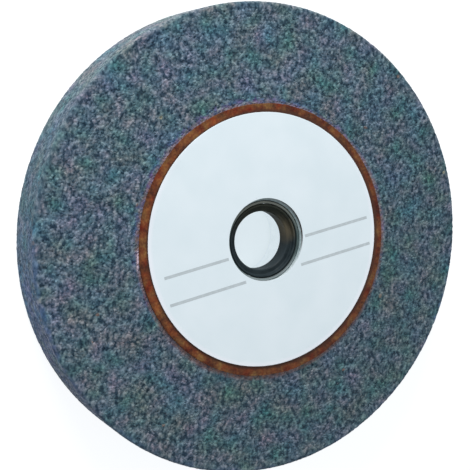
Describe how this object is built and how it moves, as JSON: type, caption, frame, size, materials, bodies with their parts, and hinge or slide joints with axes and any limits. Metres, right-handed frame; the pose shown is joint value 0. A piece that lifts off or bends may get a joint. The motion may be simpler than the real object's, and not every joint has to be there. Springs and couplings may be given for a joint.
{
  "type": "bench grinding wheel",
  "caption": "Straight vitrified grinding wheel with card blotters, a plain paper label and a bushed bore, clamped between flanges on a bench grinder's spindle.",
  "frame": {"origin": "centre of the rear face, on the surface that the wheel lies on", "axes": "+Z along the wheel's axis, out of the labelled front face; X and Y are any two radii at right angles"},
  "size_m": [0.2, 0.2, 0.0272],
  "materials": {
    "abrasive": "coarse open grain, matte, blue-grey with pale, violet and navy specks",
    "brown_card": "mottled red-brown card, satin",
    "white_paper": "smooth coated white paper with two thin printed grey lines",
    "liner_metal": "smooth bright bore wall, dull grey end faces",
    "bush_plastic": "moulded, satin"
  },
  "bodies": {
    "root": {"abrasive_wheel": "abrasive", "rear_blotter": "brown_card", "front_blotter": "brown_card", "front_label": "white_paper", "bore_liner": "liner_metal", "reducing_bush": "bush_plastic"}
  },
  "joints": []
}
